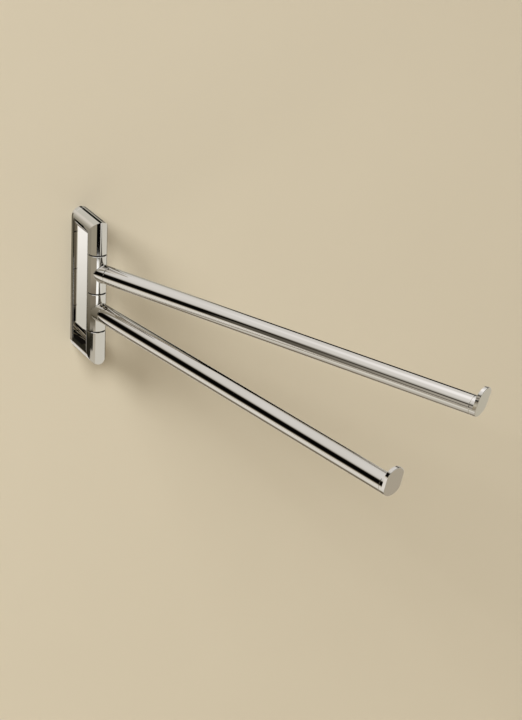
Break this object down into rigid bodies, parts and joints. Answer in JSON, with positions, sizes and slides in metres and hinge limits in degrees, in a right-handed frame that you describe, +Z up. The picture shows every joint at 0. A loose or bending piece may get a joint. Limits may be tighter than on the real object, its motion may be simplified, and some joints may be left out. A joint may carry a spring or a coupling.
{
  "type": "swing arm towel bar",
  "caption": "Wall-mounted towel rail: a mitred round-bar bracket on an arched plate carries round bars that swing sideways, each ending in a leaning oblong stop.",
  "frame": {"origin": "middle of the wall plate's back face, on the wall", "axes": "+Y into the wall, -Y out to the user, +X to the right as the user faces the wall, +Z up"},
  "size_m": [0.1757, 0.4293, 0.133],
  "materials": {
    "polished_nickel": "polished",
    "stainless_steel": "satin",
    "black_acetal": "matte",
    "ivory_acetal": "matte",
    "raw_brass": "satin"
  },
  "bodies": {
    "bracket": {"wall_plate": "polished_nickel", "upper_post": "stainless_steel", "lower_post": "stainless_steel", "upper_frame": "polished_nickel", "lower_frame": "polished_nickel", "post_set_screws": "stainless_steel", "pivot_spindle": "stainless_steel", "spindle_clamp_screw": "stainless_steel", "top_thrust_washer": "black_acetal", "middle_thrust_washer": "black_acetal", "bottom_thrust_washer": "black_acetal", "disc_spring": "stainless_steel"},
    "upper_arm": {"upper_hub": "polished_nickel", "upper_hub_top_bush": "ivory_acetal", "upper_hub_bottom_bush": "ivory_acetal", "upper_stud": "stainless_steel", "upper_tube_insert": "raw_brass", "upper_tube": "polished_nickel", "upper_end_cap": "polished_nickel"},
    "lower_arm": {"lower_hub": "polished_nickel", "lower_hub_top_bush": "ivory_acetal", "lower_hub_bottom_bush": "ivory_acetal", "lower_stud": "stainless_steel", "lower_tube_insert": "raw_brass", "lower_tube": "polished_nickel", "lower_end_cap": "polished_nickel"}
  },
  "joints": [
    {"name": "upper_arm_swing", "type": "hinge", "parent": "bracket", "child": "upper_arm", "pos_m": [0, -0.036, 0.0178], "axis": [0, 0, 1], "range_deg": [-113.8, 66.2]},
    {"name": "lower_arm_swing", "type": "hinge", "parent": "bracket", "child": "lower_arm", "pos_m": [0, -0.036, -0.0178], "axis": [0, 0, 1], "range_deg": [-99.5, 80.5]}
  ]
}
